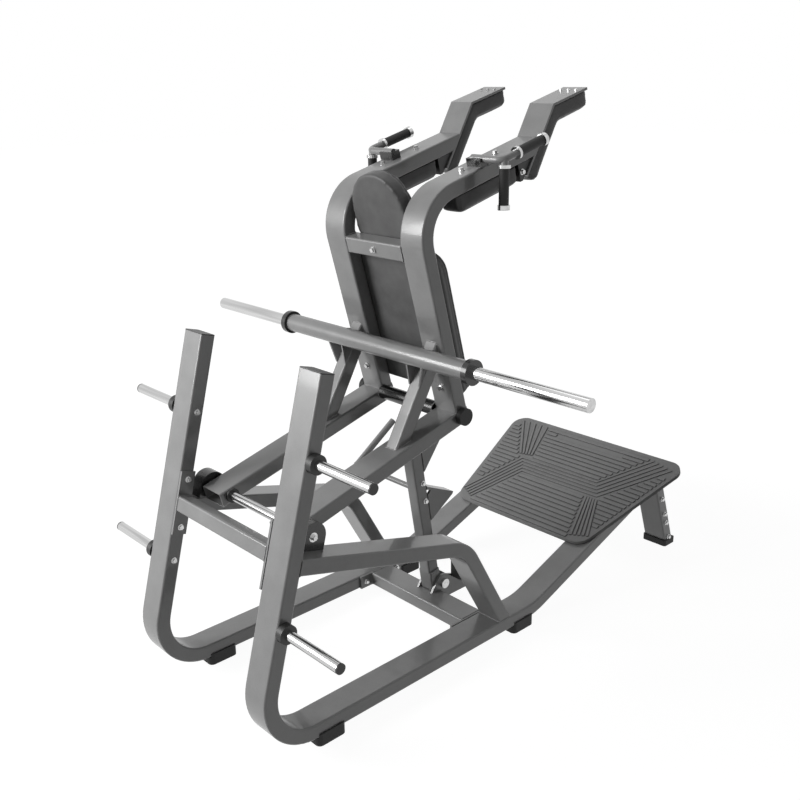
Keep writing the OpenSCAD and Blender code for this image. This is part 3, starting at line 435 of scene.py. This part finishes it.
def lay_welds(tree):
    """Weld beads round the tube joints, one piece for each body."""
    world = Matrix.Identity(4)
    upright = tilted((0, -1.10687, 0.739697), -LEAN)
    frame_lines = []
    lever_lines = []
    for side in SIDES:
        frame_x = side * FRAME_X
        beam_x = side * BEAM_X
        lever_x = side * LEVER_X
        inner_x = side * LEVER_IN
        frame_lines += [
            outline(on_face(upright, frame_x, TUBE_D / 2, 0, "X"), TUBE_W, TUBE_D),
            outline(on_face(world, frame_x, BRACE_Y, RAIL_TOP), TUBE_W,
                    TUBE_D / math.sin(math.radians(BRACE_SLOPE))),
            outline(on_face(upright, beam_x, 0, REAR_BEAM_RISE, "Y"), TUBE_D, TUBE_D),
            outline(on_face(world, beam_x, BASE_BEAM_Y, BASE_BEAM_Z, "Y"), TUBE_D, TUBE_W)]
        cut = TUBE_D * math.sqrt(2)
        lever_lines += [
            outline(on_face(LEVER, lever_x, BACK_U, TUBE_D / 2), TUBE_W, TUBE_D),
            outline(on_face(LEVER, lever_x, STRUT_U, TUBE_D / 2), TUBE_D, cut),
            outline(on_face(LEVER, lever_x, BACK_U - TUBE_D / 2, STRUT_V, "X"), TUBE_D, cut),
            outline(on_face(LEVER, inner_x, BACK_U, CROSSBAR_V, "Y"), CROSSBAR_H, TUBE_D),
            outline(on_face(LEVER, inner_x, CROSS_TUBE_U, CROSS_TUBE_V, "Y"),
                    CROSS_TUBE_DIA, CROSS_TUBE_DIA, ROUND_CORNER)]
    post_lines = [outline(on_face(POST, 0, 0, root - LEDGE_HALF, "X"), LEDGE_W, LEDGE_T, LEDGE_CORNER)
                  for root in LEDGE_ROOTS]
    for body, lines in (("frame", frame_lines), ("lever", lever_lines), ("post", post_lines)):
        grow(body + "_welds", lines, tree, body, "frame_paint", MATERIALS["frame_paint"],
             Spacing=WELD_STEP, Size=WELD_SIZE)


# Footplate tread

PLATE_LEN = 0.685
PLATE_T = 0.018
LOW_HALF = 0.388
HIGH_HALF = 0.532
PLATE_RIM = 0.022
RIB_STEP = 0.028
RIB_RISE = 0.004
RIB_W = 0.019
BAND_RIB_W = 0.012
BAND_RIBS = 5
# Bare patch in the tread, as its left and right x and its low and high t
BARE_PATCH = (-0.215, 0.205, 0.590, 0.642)


def plate_half(t):
    """Half the plate's width at distance t up the slope."""
    return LOW_HALF + (HIGH_HALF - LOW_HALF) * t / PLATE_LEN


def edge_x(edge, t):
    """X of an edge of (x, t) corners at distance t up the slope."""
    for (x0, t0), (x1, t1) in zip(edge, edge[1:]):
        if t <= t1:
            break
    share = min(max((t - t0) / (t1 - t0), 0), 1)
    return x0 + (x1 - x0) * share


def cross_ribs(low, high, left, right, bare=None):
    """Ribs across a field from t = low to high between two edges, with an optional bare patch."""
    ribs = []
    for k in range(int((high - low) / RIB_STEP) + 1):
        t = low + k * RIB_STEP
        ends = [left(t), right(t)]
        if bare and bare[2] < t < bare[3]:
            ends = [ends[0], bare[0], bare[1], ends[1]]
        ribs += [((a, t), (b, t)) for a, b in zip(ends[::2], ends[1::2]) if b - a > RIB_STEP]
    return ribs


def band_ribs(first, last):
    """Ribs side by side from one line of (x, t) corners to another."""
    ribs = []
    for k in range(BAND_RIBS):
        share = k / (BAND_RIBS - 1)
        ribs.append([(a[0] + (b[0] - a[0]) * share, a[1] + (b[1] - a[1]) * share)
                     for a, b in zip(first, last)])
    return ribs


def lay_tread():
    """Moulded tread on the footplate: a band of ribs that bends from corner to corner, two slanting
    bands to the other corners, and cross ribs in the four fields between them."""
    upper = ((-0.395, 0.065), (-0.265, 0.392), (0.200, 0.398), (0.360, 0.652))
    lower = ((-0.320, 0.030), (-0.200, 0.305), (0.262, 0.310), (0.475, 0.625))
    bands = (band_ribs(upper, lower)
             + band_ribs(((-0.300, 0.415), (-0.470, 0.652)), ((-0.235, 0.425), (-0.310, 0.655)))
             + band_ribs(((0.215, 0.285), (0.310, 0.032)), ((0.275, 0.285), (0.385, 0.060))))
    left = ((-0.415, 0.065), (-0.285, 0.392), (-0.320, 0.415), (-0.490, 0.652))
    right = ((0.400, 0.060), (0.290, 0.285), (0.285, 0.315), (0.495, 0.625))
    fields = (
        cross_ribs(0.020, 0.29, lambda t: edge_x(((-0.305, 0.015), (-0.185, 0.290)), t),
                   lambda t: edge_x(((0.297, 0.017), (0.198, 0.290)), t))
        + cross_ribs(0.422, 0.66, lambda t: edge_x(((-0.215, 0.415), (-0.290, 0.655)), t),
                     lambda t: edge_x(((0.195, 0.415), (0.340, 0.655)), t), BARE_PATCH)
        + cross_ribs(0.105, 0.62, lambda t: PLATE_RIM - plate_half(t), lambda t: edge_x(left, t))
        + cross_ribs(0.105, 0.60, lambda t: edge_x(right, t), lambda t: plate_half(t) - PLATE_RIM))
    tree = rib_tree()
    for name, ribs, width in (("tread_bands", bands, BAND_RIB_W), ("tread_ribs", fields, RIB_W)):
        lines = [[(x, t, PLATE_T) for x, t in rib] for rib in ribs]
        grow(name, lines, tree, "frame", "footplate", MATERIALS["footplate"], closed=False, place=PLATE,
             Width=width, Height=2 * RIB_RISE, Rounding=RIB_RISE / 2)


def kept_runs(line, keep):
    """Splits a line into its runs of kept points."""
    runs = [[]]
    for point in line:
        if keep(point):
            runs[-1].append(point)
        elif runs[-1]:
            runs.append([])
    return [run for run in runs if len(run) > 1]


def section_lines(mesh, point, normal, keep):
    """Stretches of the outline where a plane cuts a mesh, as lines of kept points."""
    form = bmesh.new()
    form.from_mesh(mesh)
    bmesh.ops.remove_doubles(form, verts=form.verts, dist=1e-5)
    cut = bmesh.ops.bisect_plane(form, geom=form.verts[:] + form.edges[:] + form.faces[:], dist=1e-6,
                                 plane_co=point, plane_no=normal)["geom_cut"]
    near = {}
    for edge in cut:
        if isinstance(edge, bmesh.types.BMEdge):
            for a, b in (edge.verts, reversed(edge.verts)):
                near.setdefault(a, []).append(b)
    lines = []
    while near:
        here = next(iter(near))
        line = []
        while here is not None:
            line.append(here.co.copy())
            ahead = [v for v in near.pop(here) if v in near]
            here = ahead[0] if ahead else None
        lines += kept_runs(line, keep)
    form.free()
    return lines


# Pads

VOXEL = 0.008
PAD_SHRINK = 0.005
PAD_CAP = 0.007
PAD_PRESSURE = 4.0
PAD_FRAMES = 16
SEAM_HALF = 0.006
SEAM_DEPTH = 0.0022
STITCH_STEP = 0.007
STITCH_SIZE = (0.0024, 0.0006, 0.0006)


def off_back(p):
    """Distance of a point in the lever's frame from the back tubes' front face."""
    return p.y - PAD_REAR


def off_arm(p):
    """Distance of a point in the lever's frame below the shoulder arm."""
    return ARM_LOW - p.z


def off_hook(p):
    """Distance of a point in the lever's frame below the bent plate."""
    slope = (p.y - HOOK_CORNER - p.z + HOOK_TOP) * math.sqrt(0.5)
    return min(HOOK_TOP - p.z, slope)


def freedom(point, depth):
    """How freely a cover point may move, from 0 on the pad's board to 1 well off it."""
    return min(max((depth(LEVER_BACK @ point) - 0.006) / 0.02, 0), 1)


def pad_body(node, depth):
    """Even mesh of a pad's solid, drawn in a little to leave room for the swelling."""
    form = bmesh.new()
    form.from_mesh(nodes[node].data)
    bmesh.ops.remove_doubles(form, verts=form.verts, dist=1e-5)
    bmesh.ops.recalc_face_normals(form, faces=form.faces)
    mesh = bpy.data.meshes.new(node + "_cover")
    form.to_mesh(mesh)
    form.free()
    piece = show(node + "_cover", mesh)
    modifier = piece.modifiers.new("even", "REMESH")
    modifier.mode = "VOXEL"
    modifier.voxel_size = VOXEL
    bake_modifiers(piece)
    for vertex in piece.data.vertices:
        vertex.co -= vertex.normal * PAD_SHRINK * freedom(vertex.co, depth)
    return piece


def swell(piece, depth):
    """Blows the cover up as cloth over its foam, and caps how far a point may go."""
    start = [v.co.copy() for v in piece.data.vertices]
    free = [freedom(p, depth) for p in start]
    held = piece.vertex_groups.new(name="held")
    for i, share in enumerate(free):
        held.add([i], 1 - share, "REPLACE")
    cloth = piece.modifiers.new("cloth", "CLOTH")
    cloth.settings.use_pressure = True
    cloth.settings.uniform_pressure_force = PAD_PRESSURE
    cloth.settings.effector_weights.gravity = 0
    cloth.settings.vertex_group_mass = "held"
    cloth.point_cache.frame_start = 1
    cloth.point_cache.frame_end = PAD_FRAMES
    for step in range(1, PAD_FRAMES + 1):
        bpy.context.scene.frame_set(step)
    bake_modifiers(piece)
    bpy.context.scene.frame_set(1)
    piece.vertex_groups.clear()
    for i, vertex in enumerate(piece.data.vertices):
        move = vertex.co - start[i]
        limit = PAD_CAP * free[i]
        if move.length > limit:
            vertex.co = start[i] + move.normalized() * limit


def even_out(piece, rounds):
    """Evens out the surface a little."""
    form = bmesh.new()
    form.from_mesh(piece.data)
    for _ in range(rounds):
        bmesh.ops.smooth_vert(form, verts=form.verts, factor=0.5, use_axis_x=True,
                              use_axis_y=True, use_axis_z=True)
    form.to_mesh(piece.data)
    form.free()


def subdivide(piece):
    """Adds one subdivision and shades the piece smooth."""
    modifier = piece.modifiers.new("soft", "SUBSURF")
    modifier.levels = 1
    bake_modifiers(piece)
    for face in piece.data.polygons:
        face.use_smooth = True


def sew(piece, depth, seams):
    """Draws the cover in along its seam planes and gives the stitch lines beside them."""
    lines = []
    for point, normal in seams:
        point = LEVER @ Vector(point)
        normal = LEVER.to_3x3() @ Vector(normal)
        for vertex in piece.data.vertices:
            off = abs((vertex.co - point).dot(normal)) / SEAM_HALF
            if off < 1:
                vertex.co -= vertex.normal * SEAM_DEPTH * (1 - off * off) * freedom(vertex.co, depth)
        lines += section_lines(piece.data, point + normal * SEAM_HALF, normal,
                               lambda p: freedom(p, depth) > 0.5)
    return lines


def mirrored(mesh, name):
    """Copy of a mesh on the other side of the machine."""
    copy = mesh.copy()
    copy.name = name
    copy.transform(Matrix.Scale(-1, 4, (1, 0, 0)))
    copy.flip_normals()
    return copy


def finish_pad(piece, node, stitches, tree):
    """Dresses a pad, lets it stand for its node and adds its stitches."""
    dress(piece, MATERIALS["upholstery"])
    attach(piece, "lever")
    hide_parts(node)
    grow(node + "_stitches", stitches, tree, "lever", "upholstery", THREAD, closed=False,
         Spacing=STITCH_STEP, Size=STITCH_SIZE)


def make_pad(node, depth, seams):
    """Makes one pad from its solid, with its stitch lines."""
    piece = pad_body(node, depth)
    swell(piece, depth)
    even_out(piece, 2)
    subdivide(piece)
    return piece, sew(piece, depth, seams)


def dress_pads(tree):
    """Makes the six pads. The side pads are made on the right and mirrored."""
    for node, seam_depth in (("back_pad", 0.043), ("head_pad", 0.055)):
        seam = ((0, PAD_REAR + seam_depth, 0), (0, 1, 0))
        piece, stitches = make_pad(node, off_back, (seam,))
        finish_pad(piece, node, stitches, tree)
    seam_x = TUBE_W / 2 - 0.014
    side_seams = tuple(((LEVER_X + side * seam_x, 0, 0), (side, 0, 0)) for side in SIDES)
    for node, depth in (("shoulder_pad", off_arm), ("hook_pad", off_hook)):
        piece, stitches = make_pad(node + "_right", depth, side_seams)
        finish_pad(piece, node + "_right", stitches, tree)
        other = show(node + "_left_cover", mirrored(piece.data, node + "_left_cover"))
        turned = [[Vector((-p.x, p.y, p.z)) for p in line] for line in stitches]
        finish_pad(other, node + "_left", turned, tree)


# Camera and studio

CAMERA_AT = (2.7797, -2.7997, 2.3046)
CAMERA_YAW = 0.826315
CAMERA_PITCH = -0.326439
CAMERA_ROLL = -0.0156806
FOCAL_SHARE = 976.61 / 800
SENSOR = 36


def aim_camera():
    """Puts the camera where the photograph was taken."""
    yaw, pitch, roll = CAMERA_YAW, CAMERA_PITCH, CAMERA_ROLL
    ahead = Vector((-math.sin(yaw) * math.cos(pitch), math.cos(yaw) * math.cos(pitch), math.sin(pitch)))
    level = Vector((math.cos(yaw), math.sin(yaw), 0))
    upright = level.cross(ahead)
    right = level * math.cos(roll) + upright * math.sin(roll)
    up = upright * math.cos(roll) - level * math.sin(roll)
    camera = bpy.data.objects.new("camera", bpy.data.cameras.new("camera"))
    camera.data.sensor_width = SENSOR
    camera.data.lens = SENSOR * FOCAL_SHARE
    turn = Matrix((right, up, -ahead)).transposed().to_4x4()
    camera.matrix_world = Matrix.Translation(CAMERA_AT) @ turn
    bpy.context.scene.collection.objects.link(camera)
    bpy.context.scene.camera = camera


def soft_lamp(name, at, target, size, watts):
    """Square softbox at a place, turned to a target."""
    lamp = bpy.data.lights.new(name, "AREA")
    lamp.size = size
    lamp.energy = watts
    piece = bpy.data.objects.new(name, lamp)
    piece.location = at
    piece.rotation_euler = (Vector(target) - Vector(at)).to_track_quat("-Z", "Y").to_euler()
    bpy.context.scene.collection.objects.link(piece)


def seen_directly(tree):
    """1 for the camera, mirrors and glass, 0 for light that falls on the object."""
    path = add(tree, "ShaderNodeLightPath").outputs
    first = add(tree, "ShaderNodeMath", {0: path["Is Camera Ray"], 1: path["Is Glossy Ray"]},
                operation="MAXIMUM")
    return add(tree, "ShaderNodeMath", {0: first.outputs[0], 1: path["Is Transmission Ray"]},
               operation="MAXIMUM").outputs[0]


def light_world():
    """White room to look at, and a dim one to light by."""
    world = bpy.data.worlds.new("studio")
    world.use_nodes = True
    tree = world.node_tree
    tree.nodes.clear()
    strength = add(tree, "ShaderNodeMapRange", {"Value": seen_directly(tree), "To Min": 0.07, "To Max": 1.0})
    background = add(tree, "ShaderNodeBackground", {"Color": (1, 1, 1, 1),
                                                    "Strength": strength.outputs["Result"]})
    add(tree, "ShaderNodeOutputWorld", {"Surface": background.outputs["Background"]})
    bpy.context.scene.world = world


def lay_floor():
    """White floor that keeps a faint shadow near the object and runs out into the white room."""
    half = 30
    mesh = bpy.data.meshes.new("floor")
    mesh.from_pydata([(-half, -half, 0), (half, -half, 0), (half, half, 0), (-half, half, 0)], [],
                     [(0, 1, 2, 3)])
    floor = show("floor", mesh)
    material, tree = new_material("white_floor")
    where = add(tree, "ShaderNodeTexCoord").outputs["Object"]
    away = add(tree, "ShaderNodeVectorMath", {0: where}, operation="LENGTH").outputs["Value"]
    glow = add(tree, "ShaderNodeMapRange", {"Value": away, "From Min": 1.6, "From Max": 4.0,
                                            "To Min": 0.95, "To Max": 1.0}).outputs["Result"]
    shown = add(tree, "ShaderNodeMath", {0: glow, 1: seen_directly(tree)}, operation="MULTIPLY")
    matt = add(tree, "ShaderNodeBsdfDiffuse", {"Color": (0.18, 0.18, 0.18, 1)})
    light = add(tree, "ShaderNodeEmission", {"Color": (1, 1, 1, 1), "Strength": shown.outputs[0]})
    both = add(tree, "ShaderNodeAddShader", {0: matt.outputs[0], 1: light.outputs[0]})
    add(tree, "ShaderNodeOutputMaterial", {"Surface": both.outputs[0]})
    dress(floor, material)


def light_studio():
    """Large key light behind the machine on the left, and a weak light from above."""
    soft_lamp("key", (-3.3, -5.6, 3.0), (0, 0, 1.0), 3.0, 360)
    soft_lamp("top", (-0.5, 0.5, 5.6), (0, 0, 0.8), 3.0, 28)
    bpy.context.scene.view_settings.view_transform = "Standard"


aim_camera()
light_world()
lay_floor()
light_studio()
dress_frame()
BEADS = bead_tree()
dress_pads(BEADS)
lay_tread()
lay_welds(BEADS)
